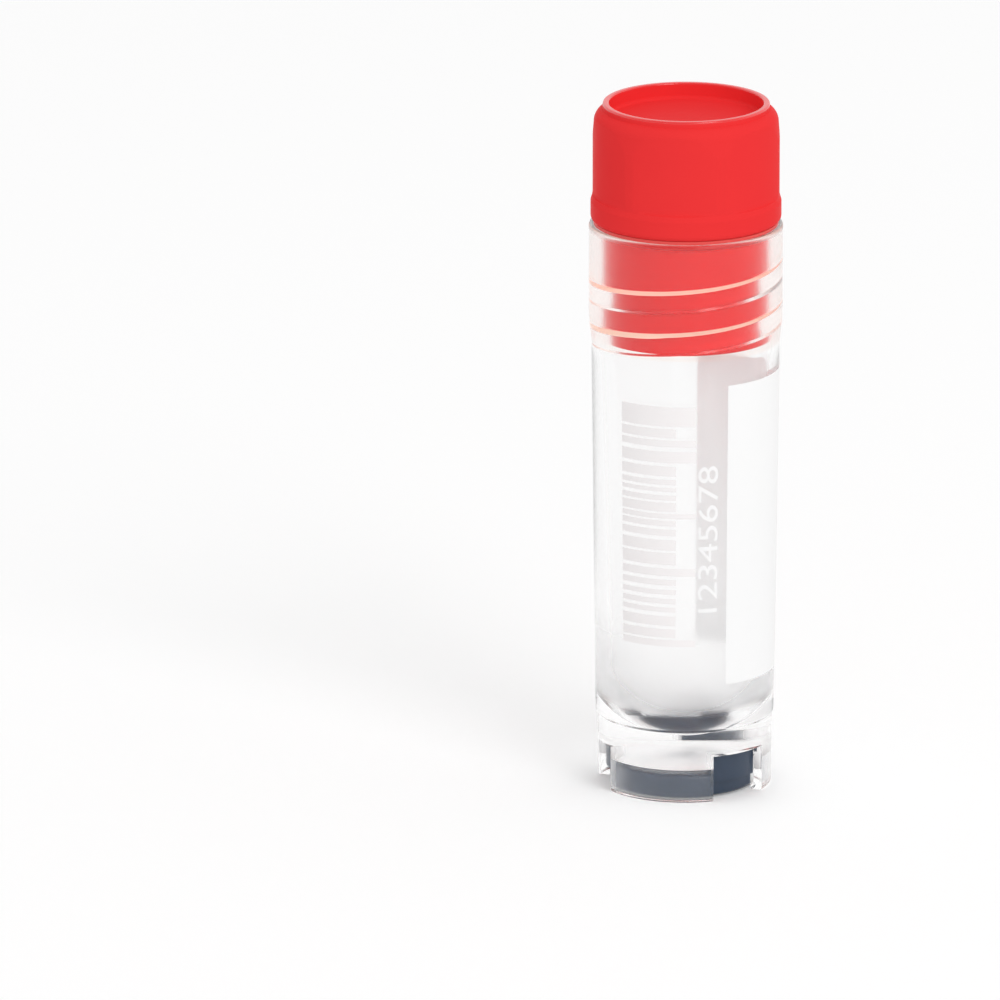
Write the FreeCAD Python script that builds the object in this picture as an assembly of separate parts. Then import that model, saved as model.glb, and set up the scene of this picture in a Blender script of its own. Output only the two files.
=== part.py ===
import FreeCAD, Part
import math
import os
from FreeCAD import Vector

# A self-standing cryogenic vial with an internally threaded screw cap, in millimetres.
# +Z is up and the origin is the middle of the base, on the surface that the vial stands on.

# ---- vial: tube, neck and rim ----
vial_height = 37.5
neck_radius = 6.28
neck_wall = 0.88
neck_length = 6.2
neck_step = 0.18
neck_taper_length = 1.8
body_wall = 1.05
body_draft = 0.30
rim_edge_break = 0.15
rim_lead_in = 0.15

# ---- vial: round bottom and skirt ----
floor_height = 3.60
pocket_edge = 2.05
pocket_rise = 0.90
skirt_height = 4.90
skirt_step = 0.14
skirt_step_height = 0.15
skirt_draft = 0.04
skirt_wall = 0.80
foot_edge_break = 0.12
notch_count = 3
notch_angle = 43.0
notch_height = 3.05
notch_depth = 1.80
first_notch_direction = -49.0

# ---- thread shared by the neck and the plug ----
thread_pitch = 2.80
thread_depth = 0.60
thread_crest_width = 1.05
thread_lead_flank = 0.38
thread_load_flank = 0.08
thread_turns = 1.85
thread_top_depth = 1.70
thread_top_direction = 90.0
thread_root_overlap = 0.15

# ---- sealing washer ----
washer_thickness = 0.20
washer_inset = 0.19
washer_plug_clearance = 0.10

# ---- cap: plug ----
plug_length = 7.70
plug_clearance = 0.08
plug_edge_break = 0.20
plug_core_wall = 0.97
plug_to_taper = 1.10
groove_clearance = 0.07
groove_end_clearance = 8.0
groove_run_out = 0.50

# ---- cap: head ----
head_height = 7.80
flange_inset = 0.11
flange_height = 1.30
flange_edge_break = 0.25
flare_step = 0.11
flare_height = 0.35
shoulder_drop = 2.30
shoulder_taper = 0.09
shoulder_round = 0.90
top_rim_step = 0.66
top_rim_height = 0.42
top_rim_wall = 0.42
top_rim_edge_break = 0.10
recess_depth = 1.05
top_plate = 1.20
panel_count = 6
panel_depth = 0.15
rib_angle = 6.0
first_panel_direction = -97.5

# ---- code insert in the skirt ----
insert_clearance = 0.02
insert_recess = 0.12
insert_thickness = 1.60
insert_edge_break = 0.35
lug_reach = 0.24
lug_side_clearance = 1.5
lug_bottom = 1.15
lug_top_clearance = 0.15
lug_depth = 0.90

# ---- radii and heights that follow from the sizes above ----
neck_bore_radius = neck_radius - neck_wall
body_top_radius = neck_radius - neck_step
body_bottom_radius = body_top_radius - body_draft
bore_bottom_radius = body_bottom_radius - body_wall
dome_centre = floor_height + bore_bottom_radius
skirt_radius = body_bottom_radius - skirt_step
skirt_bore_radius = skirt_radius - skirt_wall
crown_radius = (skirt_bore_radius**2 + pocket_rise**2) / (2 * pocket_rise)
crown_centre = pocket_edge + pocket_rise - crown_radius
thread_top = vial_height - thread_top_depth
thread_crest_radius = neck_bore_radius - thread_depth

flange_seat = vial_height + washer_thickness
flange_radius = neck_radius - flange_inset
flange_top = flange_seat + flange_height
grip_radius = flange_radius - flare_step
grip_bottom = flange_top + flare_height
cap_top = flange_seat + head_height
shoulder_radius = grip_radius - shoulder_taper
top_rim_radius = grip_radius - top_rim_step
top_rim_foot = cap_top - top_rim_height
recess_radius = top_rim_radius - top_rim_wall
recess_floor = cap_top - recess_depth
plug_bottom = flange_seat - plug_length
plug_radius = neck_bore_radius - plug_clearance
plug_root_radius = thread_crest_radius - plug_clearance
plug_core_radius = plug_root_radius - plug_core_wall
plug_core_top = recess_floor - top_plate
bore_taper_top = plug_bottom - plug_to_taper
washer_radius = flange_radius - washer_inset
insert_radius = skirt_bore_radius - insert_clearance
insert_top = insert_recess + insert_thickness

full_turn = 360.0
past_the_part = 2.0
up = Vector(0, 0, 1)
origin = Vector(0, 0, 0)


def straight(start, end):
    """An edge between two (radius, height) points. A sloping one is a spline, which turns into a light cone."""
    line = Part.LineSegment(Vector(start[0], 0, start[1]), Vector(end[0], 0, end[1]))
    sloping = start[0] != end[0] and start[1] != end[1]
    return line.toBSpline().toShape() if sloping else line.toShape()


def arc(centre, radius, start_angle, end_angle):
    """An arc edge about a (radius, height) centre, with its angles in degrees above +X."""
    points = [on_circle(centre, radius, a) for a in (start_angle, (start_angle + end_angle) / 2, end_angle)]
    return Part.Arc(*[Vector(r, 0, z) for r, z in points]).toShape()


def on_circle(centre, radius, angle):
    turn = math.radians(angle)
    return centre[0] + radius * math.cos(turn), centre[1] + radius * math.sin(turn)


def chain(*points):
    """Straight edges that join (radius, height) points in turn."""
    return [straight(a, b) for a, b in zip(points, points[1:])]


def turned(edges):
    """The solid of revolution about Z of a closed outline."""
    face = Part.Face(Part.Wire(Part.__sortEdges__(edges)))
    return face.revolve(origin, up, full_turn)


def disc(radius, bottom, top):
    return Part.makeCylinder(radius, top - bottom, Vector(0, 0, bottom))


def ring_sector(inner, outer, bottom, top, middle_direction, angle):
    """A piece of a ring, centred on a direction in degrees from +X."""
    wedge = Part.makeCylinder(outer, top - bottom, Vector(0, 0, bottom), up, angle)
    wedge.rotate(origin, up, middle_direction - angle / 2)
    return wedge.cut(disc(inner, bottom - past_the_part, top + past_the_part))


def evenly_round(count, first):
    return [first + i * full_turn / count for i in range(count)]


def thread_profile(outer, crest, clearance):
    """The thread's section with its upper root corner at height 0. The clearance widens it for a groove."""
    lead_slope = thread_lead_flank / thread_depth
    load_slope = thread_load_flank / thread_depth
    root_to_crest = neck_bore_radius - crest
    root_to_outer = outer - neck_bore_radius
    load_corner = -thread_lead_flank - thread_crest_width - thread_load_flank
    return [
        (outer, clearance + lead_slope * root_to_outer),
        (crest, clearance - lead_slope * root_to_crest),
        (crest, load_corner - clearance + load_slope * root_to_crest),
        (outer, load_corner - clearance - load_slope * root_to_outer),
    ]


def helical(profile, top_height, top_direction, turns):
    """Sweeps a profile, drawn about height 0, down a right-hand helix from its top end."""
    rise = turns * thread_pitch
    spine = Part.makeHelix(thread_pitch, rise, neck_bore_radius)
    corners = [Vector(r, 0, z) for r, z in profile]
    section = Part.makePolygon([*corners, corners[0]])
    thread = Part.Wire(spine.Edges).makePipeShell([section], True, True)
    thread.rotate(origin, up, top_direction - full_turn * turns)
    thread.translate(Vector(0, 0, top_height - rise))
    return thread


def make_vial():
    """One moulding: a tapered tube with a round bottom, a pocket and notches under it, and a threaded neck."""
    dome_middle = (0, dome_centre)
    crown_middle = (0, crown_centre)
    # The bore's long taper is drawn in two halves, which keeps its surface light.
    half_way = (neck_bore_radius + bore_bottom_radius) / 2, (bore_taper_top + dome_centre) / 2
    outside = chain(
        (skirt_bore_radius, pocket_edge),
        (skirt_bore_radius, 0),
        (skirt_radius - foot_edge_break, 0),
        (skirt_radius, foot_edge_break),
        (skirt_radius + skirt_draft, skirt_height - skirt_step_height),
        (body_bottom_radius, skirt_height),
        (body_top_radius, vial_height - neck_length - neck_taper_length),
        (neck_radius, vial_height - neck_length),
        (neck_radius, vial_height - rim_edge_break),
        (neck_radius - rim_edge_break, vial_height),
        (neck_bore_radius + rim_lead_in, vial_height),
        (neck_bore_radius, vial_height - rim_lead_in),
        (neck_bore_radius, bore_taper_top),
        half_way,
        (bore_bottom_radius, dome_centre),
    )
    inner_dome = arc(dome_middle, bore_bottom_radius, 0, -90)
    floor = straight((0, floor_height), (0, pocket_edge + pocket_rise))
    crown_edge_angle = math.degrees(math.acos(skirt_bore_radius / crown_radius))
    crown = arc(crown_middle, crown_radius, 90, crown_edge_angle)
    vial = turned([*outside, inner_dome, floor, crown])

    for direction in evenly_round(notch_count, first_notch_direction):
        vial = vial.cut(
            ring_sector(
                skirt_radius - notch_depth,
                skirt_radius + past_the_part,
                -past_the_part,
                notch_height,
                direction,
                notch_angle,
            )
        )

    ridge = thread_profile(neck_bore_radius + thread_root_overlap, thread_crest_radius, 0)
    return vial.fuse(helical(ridge, thread_top, thread_top_direction, thread_turns))


def make_washer():
    """A flat ring of silicone between the vial's rim and the cap's flange."""
    hole = disc(plug_radius + washer_plug_clearance, vial_height - past_the_part, flange_seat + past_the_part)
    return disc(washer_radius, vial_height, flange_seat).cut(hole)


def make_cap():
    """A hollow threaded plug under a gripping head, which has a rim and a recess on top for a coloured disc."""
    arc_reach = shoulder_radius - shoulder_round
    arc_rise = math.sqrt(shoulder_round**2 - (top_rim_radius - arc_reach) ** 2)
    arc_middle = (arc_reach, top_rim_foot - arc_rise)
    arc_end_angle = math.degrees(math.atan2(arc_rise, top_rim_radius - arc_reach))
    plug_and_grip = chain(
        (plug_core_radius, plug_bottom),
        (plug_radius - plug_edge_break, plug_bottom),
        (plug_radius, plug_bottom + plug_edge_break),
        (plug_radius, flange_seat),
        (flange_radius - flange_edge_break, flange_seat),
        (flange_radius, flange_seat + flange_edge_break),
        (flange_radius, flange_top),
        (grip_radius, grip_bottom),
        (grip_radius, cap_top - shoulder_drop),
        (shoulder_radius, arc_middle[1]),
    )
    shoulder = arc(arc_middle, shoulder_round, 0, arc_end_angle)
    top_and_core = chain(
        (top_rim_radius, top_rim_foot),
        (top_rim_radius, cap_top - top_rim_edge_break),
        (top_rim_radius - top_rim_edge_break, cap_top),
        (recess_radius + top_rim_edge_break, cap_top),
        (recess_radius, cap_top - top_rim_edge_break),
        (recess_radius, recess_floor),
        (0, recess_floor),
        (0, plug_core_top),
        (plug_core_radius, plug_core_top),
        (plug_core_radius, plug_bottom),
    )
    cap = turned([*plug_and_grip, shoulder, *top_and_core])
    for direction in evenly_round(panel_count, first_panel_direction):
        cap = cap.cut(grip_panel(direction))

    section = thread_profile(plug_radius + groove_run_out, plug_root_radius, groove_clearance)
    top = thread_top + groove_end_clearance / full_turn * thread_pitch
    turns = (top - plug_bottom + groove_run_out) / thread_pitch
    groove = helical(section, top, thread_top_direction + groove_end_clearance, turns)
    return cap.cut(groove)


def grip_panel(direction):
    """What a shallow, gently curved grip panel takes from the head, between two ribs."""
    half_angle = math.radians(full_turn / panel_count / 2 - rib_angle / 2)
    floor = grip_radius - panel_depth
    side = grip_radius * math.cos(half_angle)
    drum_radius = (grip_radius**2 - 2 * side * floor + floor**2) / (2 * (floor - side))
    height = cap_top - grip_bottom
    outer = grip_radius + past_the_part
    sector = ring_sector(plug_radius, outer, grip_bottom, cap_top, 0, full_turn / panel_count)
    drum = Part.makeCylinder(drum_radius, height, Vector(floor - drum_radius, 0, grip_bottom))
    panel = sector.cut(drum)
    panel.rotate(origin, up, direction)
    return panel


def make_insert():
    """The coded disc that closes the skirt, with a lug that stands in each notch."""
    insert = turned(chain(
        (0, insert_recess),
        (insert_radius - insert_edge_break, insert_recess),
        (insert_radius, insert_recess + insert_edge_break),
        (insert_radius, insert_top),
        (0, insert_top),
        (0, insert_recess),
    ))
    for direction in evenly_round(notch_count, first_notch_direction):
        insert = insert.fuse(
            ring_sector(
                insert_radius - lug_depth,
                skirt_bore_radius + lug_reach,
                lug_bottom,
                notch_height - lug_top_clearance,
                direction,
                notch_angle - 2 * lug_side_clearance,
            )
        )
    return insert


os.makedirs("parts", exist_ok=True)
makers = {
    "vial": make_vial,
    "screw_cap": make_cap,
    "sealing_washer": make_washer,
    "code_insert": make_insert,
}
for name, make in makers.items():
    shape = make()
    solids = shape.Solids
    body = solids[0] if len(solids) == 1 else shape
    body.exportStep(f"parts/{name}.step")
    print(name, "solids", len(solids), "valid", body.isValid(), "volume", round(body.Volume, 2))
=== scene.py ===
# %% [markdown]
# # A cryogenic vial with a screw cap
# A cryovial keeps a frozen sample. Its tube is one moulding of clear polypropylene, with a round bottom, a
# notched skirt to stand on and a thread inside its neck. A red cap screws into the neck, and a black disc with
# a code closes the skirt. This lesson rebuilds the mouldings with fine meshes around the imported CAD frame.
# Every size is in metres, and every piece lies where the frame says.

import math

import bpy
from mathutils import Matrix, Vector


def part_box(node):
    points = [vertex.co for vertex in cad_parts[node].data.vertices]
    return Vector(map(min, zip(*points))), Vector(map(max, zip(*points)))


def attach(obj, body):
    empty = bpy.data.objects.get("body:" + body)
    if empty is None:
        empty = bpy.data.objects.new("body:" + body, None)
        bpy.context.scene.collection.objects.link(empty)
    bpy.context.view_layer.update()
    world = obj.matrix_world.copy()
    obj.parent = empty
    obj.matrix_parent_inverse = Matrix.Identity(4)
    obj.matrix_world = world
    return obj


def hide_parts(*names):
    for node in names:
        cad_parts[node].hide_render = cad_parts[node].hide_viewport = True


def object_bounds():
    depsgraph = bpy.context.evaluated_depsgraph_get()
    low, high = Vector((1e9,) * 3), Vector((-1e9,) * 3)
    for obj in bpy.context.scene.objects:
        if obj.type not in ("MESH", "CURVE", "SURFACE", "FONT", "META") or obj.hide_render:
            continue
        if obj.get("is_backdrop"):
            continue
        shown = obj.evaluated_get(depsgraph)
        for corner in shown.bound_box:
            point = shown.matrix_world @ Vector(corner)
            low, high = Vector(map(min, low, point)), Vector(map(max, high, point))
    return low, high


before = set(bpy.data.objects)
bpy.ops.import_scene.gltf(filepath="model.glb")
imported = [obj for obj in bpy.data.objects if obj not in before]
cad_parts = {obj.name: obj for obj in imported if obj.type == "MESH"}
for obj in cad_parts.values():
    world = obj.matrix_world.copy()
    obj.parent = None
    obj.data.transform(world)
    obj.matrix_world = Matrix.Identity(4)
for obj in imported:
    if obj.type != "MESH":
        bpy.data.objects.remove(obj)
cad_low, cad_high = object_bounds()
mm = 0.001
print("frame nodes:", sorted(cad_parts), "height in mm:", round(cad_high.z / mm, 2))

# %% [markdown]
# ## Main sizes
# The frame's boxes give the heights and the largest radii. The other sizes are walls, steps and roundings,
# which are measured from these where they are first needed, as in the drawing of a real mould.

# %% Read the main sizes from the frame
neck_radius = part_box("vial")[1].x
vial_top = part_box("vial")[1].z
flange_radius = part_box("screw_cap")[1].x
plug_bottom, cap_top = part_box("screw_cap")[0].z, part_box("screw_cap")[1].z
flange_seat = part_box("sealing_washer")[1].z
insert_bottom, lug_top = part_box("code_insert")[0].z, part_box("code_insert")[1].z
full_turn = 2 * math.pi
print("neck radius", round(neck_radius / mm, 3), "vial top", round(vial_top / mm, 2), "cap top", round(cap_top / mm, 2))

# %% [markdown]
# ## Finishes by name
# Each moulding is one plastic and each print is one ink. The finishes get their names here, so that the trees
# below can put them on what they make. They are mixed near the end, when there are shapes to look at them on.

# %% Name the finishes
(clear_pp, painted_glint_flank, red_pp, polished_rim, black_pp, silicone, white_ink, bar_ink_painted_shade, code_ink,
 white_floor) = finishes = [bpy.data.materials.new(name) for name in (
    "clear_polypropylene", "painted_glint_flank", "red_polypropylene", "polished_rim", "black_polypropylene", "silicone",
    "white_ink", "bar_ink_painted_shade", "code_ink", "white_floor")]
print("finishes:", [finish.name for finish in finishes])

# %% [markdown]
# ## Helpers for node trees
# Geometry Nodes and shaders are both trees of nodes. Two helpers keep their recipes short: one makes a tree
# with named inputs, and one adds a node and joins its inputs in the same call. The others stand for sums that
# come back in every tree. A tree of geometry ends with real points in the finish that it was given.

# %% Define the node helpers
def new_tree(name, kind, inputs, outputs):
    """A node group with named sockets, each given as name: (socket type, default value)."""
    tree = bpy.data.node_groups.new(name, kind)
    if kind == "GeometryNodeTree":
        inputs = {**inputs, "Finish": ("Material", None)}
    for label, (socket, default) in inputs.items():
        made = tree.interface.new_socket(name=label, in_out="INPUT", socket_type="NodeSocket" + socket)
        if default is not None:
            made.default_value = default
    for label, socket in outputs.items():
        tree.interface.new_socket(name=label, in_out="OUTPUT", socket_type="NodeSocket" + socket)
    return tree, tree.nodes.new("NodeGroupInput").outputs, tree.nodes.new("NodeGroupOutput").inputs


def add(tree, kind, inputs=None, **settings):
    """A node whose inputs are plain values or the sockets that feed them."""
    node = tree.nodes.new(kind)
    for key, value in settings.items():
        setattr(node, key, value)
    for key, value in (inputs or {}).items():
        if isinstance(value, bpy.types.NodeSocket):
            tree.links.new(value, node.inputs[key])
        else:
            node.inputs[key].default_value = value
    return node


def maths(tree, operation, *values):
    """The result of a Math node."""
    node = add(tree, "ShaderNodeMath", dict(enumerate(values)), operation=operation)
    return node.outputs[0]


def times(tree, a, b):
    return maths(tree, "MULTIPLY", a, b)


def over(tree, a, b):
    return maths(tree, "DIVIDE", a, b)


def plus(tree, a, b):
    return maths(tree, "ADD", a, b)


def minus(tree, a, b):
    return maths(tree, "SUBTRACT", a, b)


def along(tree, vector):
    """The X, Y and Z of a vector."""
    return add(tree, "ShaderNodeSeparateXYZ", {0: vector}).outputs


def as_vector(tree, x, y, z):
    return add(tree, "ShaderNodeCombineXYZ", {0: x, 1: y, 2: z}).outputs[0]


def on_ring(tree, radius, angle, height):
    """The place at a distance from the axis, an angle round it and a height."""
    across = times(tree, radius, maths(tree, "COSINE", angle))
    return as_vector(tree, across, times(tree, radius, maths(tree, "SINE", angle)), height)


def from_axis(tree, spot):
    """The distance of a point from the axis."""
    return maths(tree, "SQRT", plus(tree, times(tree, spot["X"], spot["X"]), times(tree, spot["Y"], spot["Y"])))


def row_and_column(tree, width):
    """Which row and which column of a grid a point is in, from its number."""
    index = add(tree, "GeometryNodeInputIndex").outputs[0]
    row = maths(tree, "FLOOR", over(tree, plus(tree, index, 0.5), width))
    return row, minus(tree, index, times(tree, row, width))


def point_of(tree, shape, number):
    """The X, Y and Z of a numbered point of a shape."""
    sample = add(tree, "GeometryNodeSampleIndex", {
        "Geometry": shape, "Value": add(tree, "GeometryNodeInputPosition").outputs[0], "Index": number,
    }, data_type="FLOAT_VECTOR")
    return along(tree, sample.outputs[0])


def close_skin(tree, grid, place):
    """Moves a grid to its places, welds its seams and turns its faces outwards."""
    moved = add(tree, "GeometryNodeSetPosition", {"Geometry": grid.outputs["Mesh"], "Position": place})
    closed = add(tree, "GeometryNodeMergeByDistance", {"Geometry": moved.outputs[0], "Distance": 1e-7})
    return add(tree, "GeometryNodeFlipFaces", {0: closed.outputs[0]})


def end_tree(tree, last, given, result):
    """Ends a tree with real geometry in its finish."""
    real = add(tree, "GeometryNodeRealizeInstances", {0: last.outputs[0]})
    coated = add(tree, "GeometryNodeSetMaterial", {"Geometry": real.outputs[0], "Material": given["Finish"]})
    tree.links.new(coated.outputs[0], result[0])
    print("tree", tree.name, "has", len(tree.nodes), "nodes")
    return tree

# %% [markdown]
# ## From a tree to a plain mesh
# A Geometry Nodes modifier is live. The finished piece has to be a plain mesh, so each result is read back
# once, the modifier goes, and only the mesh stays.

# %% Define how pieces are made and finished
def mesh_object(name, points, edges=(), faces=()):
    mesh = bpy.data.meshes.new(name)
    mesh.from_pydata([tuple(p) for p in points], list(edges), list(faces))
    made = bpy.data.objects.new(name, mesh)
    bpy.context.scene.collection.objects.link(made)
    return made


def run_tree(piece, tree, finish, **inputs):
    """Adds a Geometry Nodes modifier and sets its inputs by their sockets' identifiers."""
    modifier = piece.modifiers.new(tree.name, "NODES")
    modifier.node_group = tree
    ids = {s.name: s.identifier for s in tree.interface.items_tree if s.in_out == "INPUT"}
    for label, value in {"Finish": finish, **inputs}.items():
        modifier[ids[label.replace("_", " ")]] = value
    return piece


def set_solid(piece):
    """Turns what the modifiers make into the piece's own plain mesh."""
    seen = piece.evaluated_get(bpy.context.evaluated_depsgraph_get())
    mesh = bpy.data.meshes.new_from_object(seen)
    piece.modifiers.clear()
    old, piece.data = piece.data, mesh
    bpy.data.meshes.remove(old)
    mesh.name = piece.name
    return piece


def combine(piece, tool, operation):
    """Joins a closed tool to a closed piece, or cuts it away, and deletes the tool."""
    modifier = piece.modifiers.new(operation.lower(), "BOOLEAN")
    modifier.operation, modifier.object, modifier.solver = operation, tool, "MANIFOLD"
    set_solid(piece)
    bpy.data.objects.remove(tool)
    return piece


def smooth_to(piece, degrees):
    """Smooth shading, apart from edges that are sharper than the angle."""
    piece.data.shade_smooth()
    piece.data.set_sharp_from_angle(angle=math.radians(degrees))
    return piece


def paint(piece, material):
    """One material for the whole piece."""
    piece.data.materials.clear()
    piece.data.materials.append(material)


def tell(piece):
    size = piece.dimensions / mm
    print(piece.name, [round(v, 2) for v in size], "mm,", len(piece.data.polygons), "faces")

# %% [markdown]
# ## Turned outlines
# The tube, the cap and the disc are bodies of revolution, so each is drawn as half an outline and turned on the
# axis. Corners get true roundings. A short support row beside each rounding keeps the long flat walls flat when
# they are shaded smooth.

# %% Define the outline and the lathe
def outline(corners, arc_steps=6, longest=None):
    """Points along corners given as (radius, height, rounding), with support rows beside each rounding."""
    points = []
    for i, (r, z, rounding) in enumerate(corners):
        here = Vector((r, z))
        if not rounding:
            points.append(here)
            continue
        back = (Vector(corners[i - 1][:2]) - here).normalized()
        ahead = (Vector(corners[i + 1][:2]) - here).normalized()
        half = back.angle(ahead) / 2
        reach = rounding / math.tan(half)
        centre = here + (back + ahead).normalized() * (rounding / math.sin(half))
        first, last = here + back * reach, here + ahead * reach
        start = math.atan2(first.y - centre.y, first.x - centre.x)
        sweep = math.atan2(last.y - centre.y, last.x - centre.x) - start
        sweep = (sweep + math.pi) % full_turn - math.pi
        points.append(first + back * rounding * 0.15)
        for k in range(arc_steps + 1):
            a = start + sweep * k / arc_steps
            points.append(centre + Vector((math.cos(a), math.sin(a))) * rounding)
        points.append(last + ahead * rounding * 0.15)
    if longest:
        points = divide(points, longest)
    return points


def divide(points, longest):
    """The same line with no run longer than asked."""
    out = [points[0]]
    for a, b in zip(points, points[1:]):
        n = max(1, math.ceil((b - a).length / longest))
        out += [a.lerp(b, k / n) for k in range(1, n + 1)]
    return out


def arc_points(centre, radius, start, end, steps):
    """Points of an arc about a (radius, height) centre, with its angles in degrees."""
    angles = [math.radians(start + (end - start) * k / steps) for k in range(steps + 1)]
    return [Vector((centre[0] + radius * math.cos(a), centre[1] + radius * math.sin(a))) for a in angles]


tree, given, result = new_tree(
    "turn_outline", "GeometryNodeTree",
    {"Outline": ("Geometry", None), "Segments": ("Int", 256)}, {"Body": "Geometry"})
count = add(tree, "GeometryNodeAttributeDomainSize", {0: given["Outline"]}, component="MESH").outputs["Point Count"]
rows = plus(tree, given["Segments"], 1.0)
grid = add(tree, "GeometryNodeMeshGrid", {"Vertices X": count, "Vertices Y": rows})
step, turn = row_and_column(tree, rows)
point = point_of(tree, given["Outline"], step)
angle = times(tree, over(tree, turn, given["Segments"]), full_turn)
lathe = end_tree(tree, close_skin(tree, grid, on_ring(tree, point["X"], angle, point["Z"])), given, result)


def turn_outline(name, finish, points, segments=256):
    """A closed body of revolution from an outline that starts and ends on the axis."""
    edges = [(i, i + 1) for i in range(len(points) - 1)]
    piece = mesh_object(name, [(p.x, 0, p.y) for p in points], edges)
    return set_solid(run_tree(piece, lathe, finish, Segments=segments))

# %% [markdown]
# ## Threads
# The cap seals inside the neck, so the neck carries a ridge and the plug a groove. Both follow one right-hand
# helix. The section is a buttress: a slanting lead flank above, which guides the cap in, and a nearly flat
# flank below. A tree lays copies of the section along the helix and shrinks them to a point at both ends, as
# the run-out of a moulded thread does.

# %% Define the helix tree
tree, given, result = new_tree(
    "wind_thread", "GeometryNodeTree",
    {
        "Section": ("Geometry", None), "Segments": ("Int", 192), "Pitch": ("Float", 1.0), "Turns": ("Float", 1.0),
        "Top": ("Float", 0.0), "Direction": ("Float", 0.0), "Vanish Radius": ("Float", 0.0),
        "Vanish Height": ("Float", 0.0), "Run Out": ("Float", 0.05),
    },
    {"Thread": "Geometry"})
count = add(tree, "GeometryNodeAttributeDomainSize", {0: given["Section"]}, component="MESH").outputs["Point Count"]
columns = plus(tree, count, 1.0)
steps = maths(tree, "ROUND", times(tree, given["Segments"], given["Turns"]))
grid = add(tree, "GeometryNodeMeshGrid", {"Vertices X": plus(tree, steps, 1.0), "Vertices Y": columns})
row, column = row_and_column(tree, columns)
around = maths(tree, "FLOORED_MODULO", plus(tree, column, 0.25), count)
point = point_of(tree, given["Section"], maths(tree, "FLOOR", around))
done = times(tree, over(tree, row, steps), given["Turns"])
to_end = maths(tree, "MINIMUM", done, minus(tree, given["Turns"], done))
grown = add(tree, "ShaderNodeMapRange", {
    "Value": to_end, "From Min": 0.0, "From Max": given["Run Out"]}, interpolation_type="SMOOTHSTEP").outputs[0]
angle = minus(tree, given["Direction"], times(tree, done, full_turn))
radius = plus(tree, given["Vanish Radius"], times(tree, grown, minus(tree, point["X"], given["Vanish Radius"])))
rise = plus(tree, given["Vanish Height"], times(tree, grown, minus(tree, point["Z"], given["Vanish Height"])))
height = plus(tree, rise, minus(tree, given["Top"], times(tree, done, given["Pitch"])))
thread_tree = end_tree(tree, close_skin(tree, grid, on_ring(tree, radius, angle, height)), given, result)

# %% [markdown]
# ## The shared thread
# Neck and plug have to fit, so both take their thread from the same sizes. The groove has the ridge's pitch and
# flanks, and is wider by a clearance. The ridge goes nearly twice round the neck, so the cap is tight after
# about two turns. The section is a ring of points with rounded corners, as a cut mould has.

# %% Define the thread shared by the neck and the plug
neck_bore_radius = neck_radius - 0.88 * mm
thread_pitch = 2.80 * mm
thread_depth = 0.60 * mm
thread_crest_width = 1.05 * mm
lead_flank = 0.38 * mm
load_flank = 0.08 * mm
thread_turns = 1.85
thread_top = vial_top - 1.70 * mm
thread_direction = math.radians(90)
crest_radius = neck_bore_radius - thread_depth


def thread_section(outer, crest, clearance, rounding):
    """The section from an outer radius to the crest, as a ring of points."""
    def upper(r):
        return clearance - lead_flank / thread_depth * (neck_bore_radius - r)

    def lower(r):
        low = -lead_flank - thread_crest_width - load_flank - clearance
        return low + load_flank / thread_depth * (neck_bore_radius - r)

    ring = outline([
        (outer, upper(outer), 0), (crest, upper(crest), rounding), (crest, lower(crest), 0),
        (outer, lower(outer), 0)], arc_steps=4)
    return divide(ring + ring[:1], 0.3 * mm)[:-1]


def wind_thread(name, finish, section, turns, top, direction, run_out):
    """A closed helical body that swells out of its helix line and sinks back into it."""
    n = len(section)
    piece = mesh_object(name, [(p.x, 0, p.y) for p in section], [(i, (i + 1) % n) for i in range(n)])
    middle = sum(p.y for p in section) / n
    return set_solid(run_tree(
        piece, thread_tree, finish, Pitch=thread_pitch, Turns=turns, Top=top, Direction=direction,
        Vanish_Radius=max(p.x for p in section), Vanish_Height=middle, Run_Out=run_out))


print("thread: pitch", thread_pitch / mm, "mm,", thread_turns, "turns, crest radius", round(crest_radius / mm, 2))

# %% [markdown]
# ## Sectors repeated round the axis
# The skirt has three notches, and the disc has three lugs that stand in them. A tree bends a block of points
# into one sector of a ring and places copies evenly round the axis.

# %% Define the sector tree
tree, given, result = new_tree(
    "sectors_round_axis", "GeometryNodeTree",
    {
        "Start": ("Geometry", None), "Count": ("Int", 3), "Angle": ("Float", 0.7), "First": ("Float", 0.0),
        "Inner": ("Float", 1.0), "Outer": ("Float", 2.0), "Bottom": ("Float", 0.0), "Top": ("Float", 1.0),
    },
    {"Sectors": "Geometry"})
block = add(tree, "GeometryNodeMeshCube", {
    "Size": (1.0, 1.0, 1.0), "Vertices X": 2, "Vertices Y": 41, "Vertices Z": 2})
spot = along(tree, add(tree, "GeometryNodeInputPosition").outputs[0])
radius = add(tree, "ShaderNodeMapRange", {
    "Value": spot["X"], "From Min": -0.5, "From Max": 0.5, "To Min": given["Inner"], "To Max": given["Outer"]})
height = add(tree, "ShaderNodeMapRange", {
    "Value": spot["Z"], "From Min": -0.5, "From Max": 0.5, "To Min": given["Bottom"], "To Max": given["Top"]})
angle = times(tree, spot["Y"], given["Angle"])
place = on_ring(tree, radius.outputs[0], angle, height.outputs[0])
bent = add(tree, "GeometryNodeSetPosition", {"Geometry": block.outputs["Mesh"], "Position": place})
stations = add(tree, "GeometryNodePoints", {"Count": given["Count"]})
number = add(tree, "GeometryNodeInputIndex").outputs[0]
share = over(tree, number, given["Count"])
heading = plus(tree, given["First"], times(tree, share, full_turn))
copies = add(tree, "GeometryNodeInstanceOnPoints", {
    "Points": stations.outputs[0], "Instance": bent.outputs[0], "Rotation": as_vector(tree, 0.0, 0.0, heading)})
sector_tree = end_tree(tree, copies, given, result)


def sectors(name, finish, **sizes):
    """Closed sectors of a ring, evenly round the axis."""
    return set_solid(run_tree(mesh_object(name, []), sector_tree, finish, **sizes))

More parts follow.
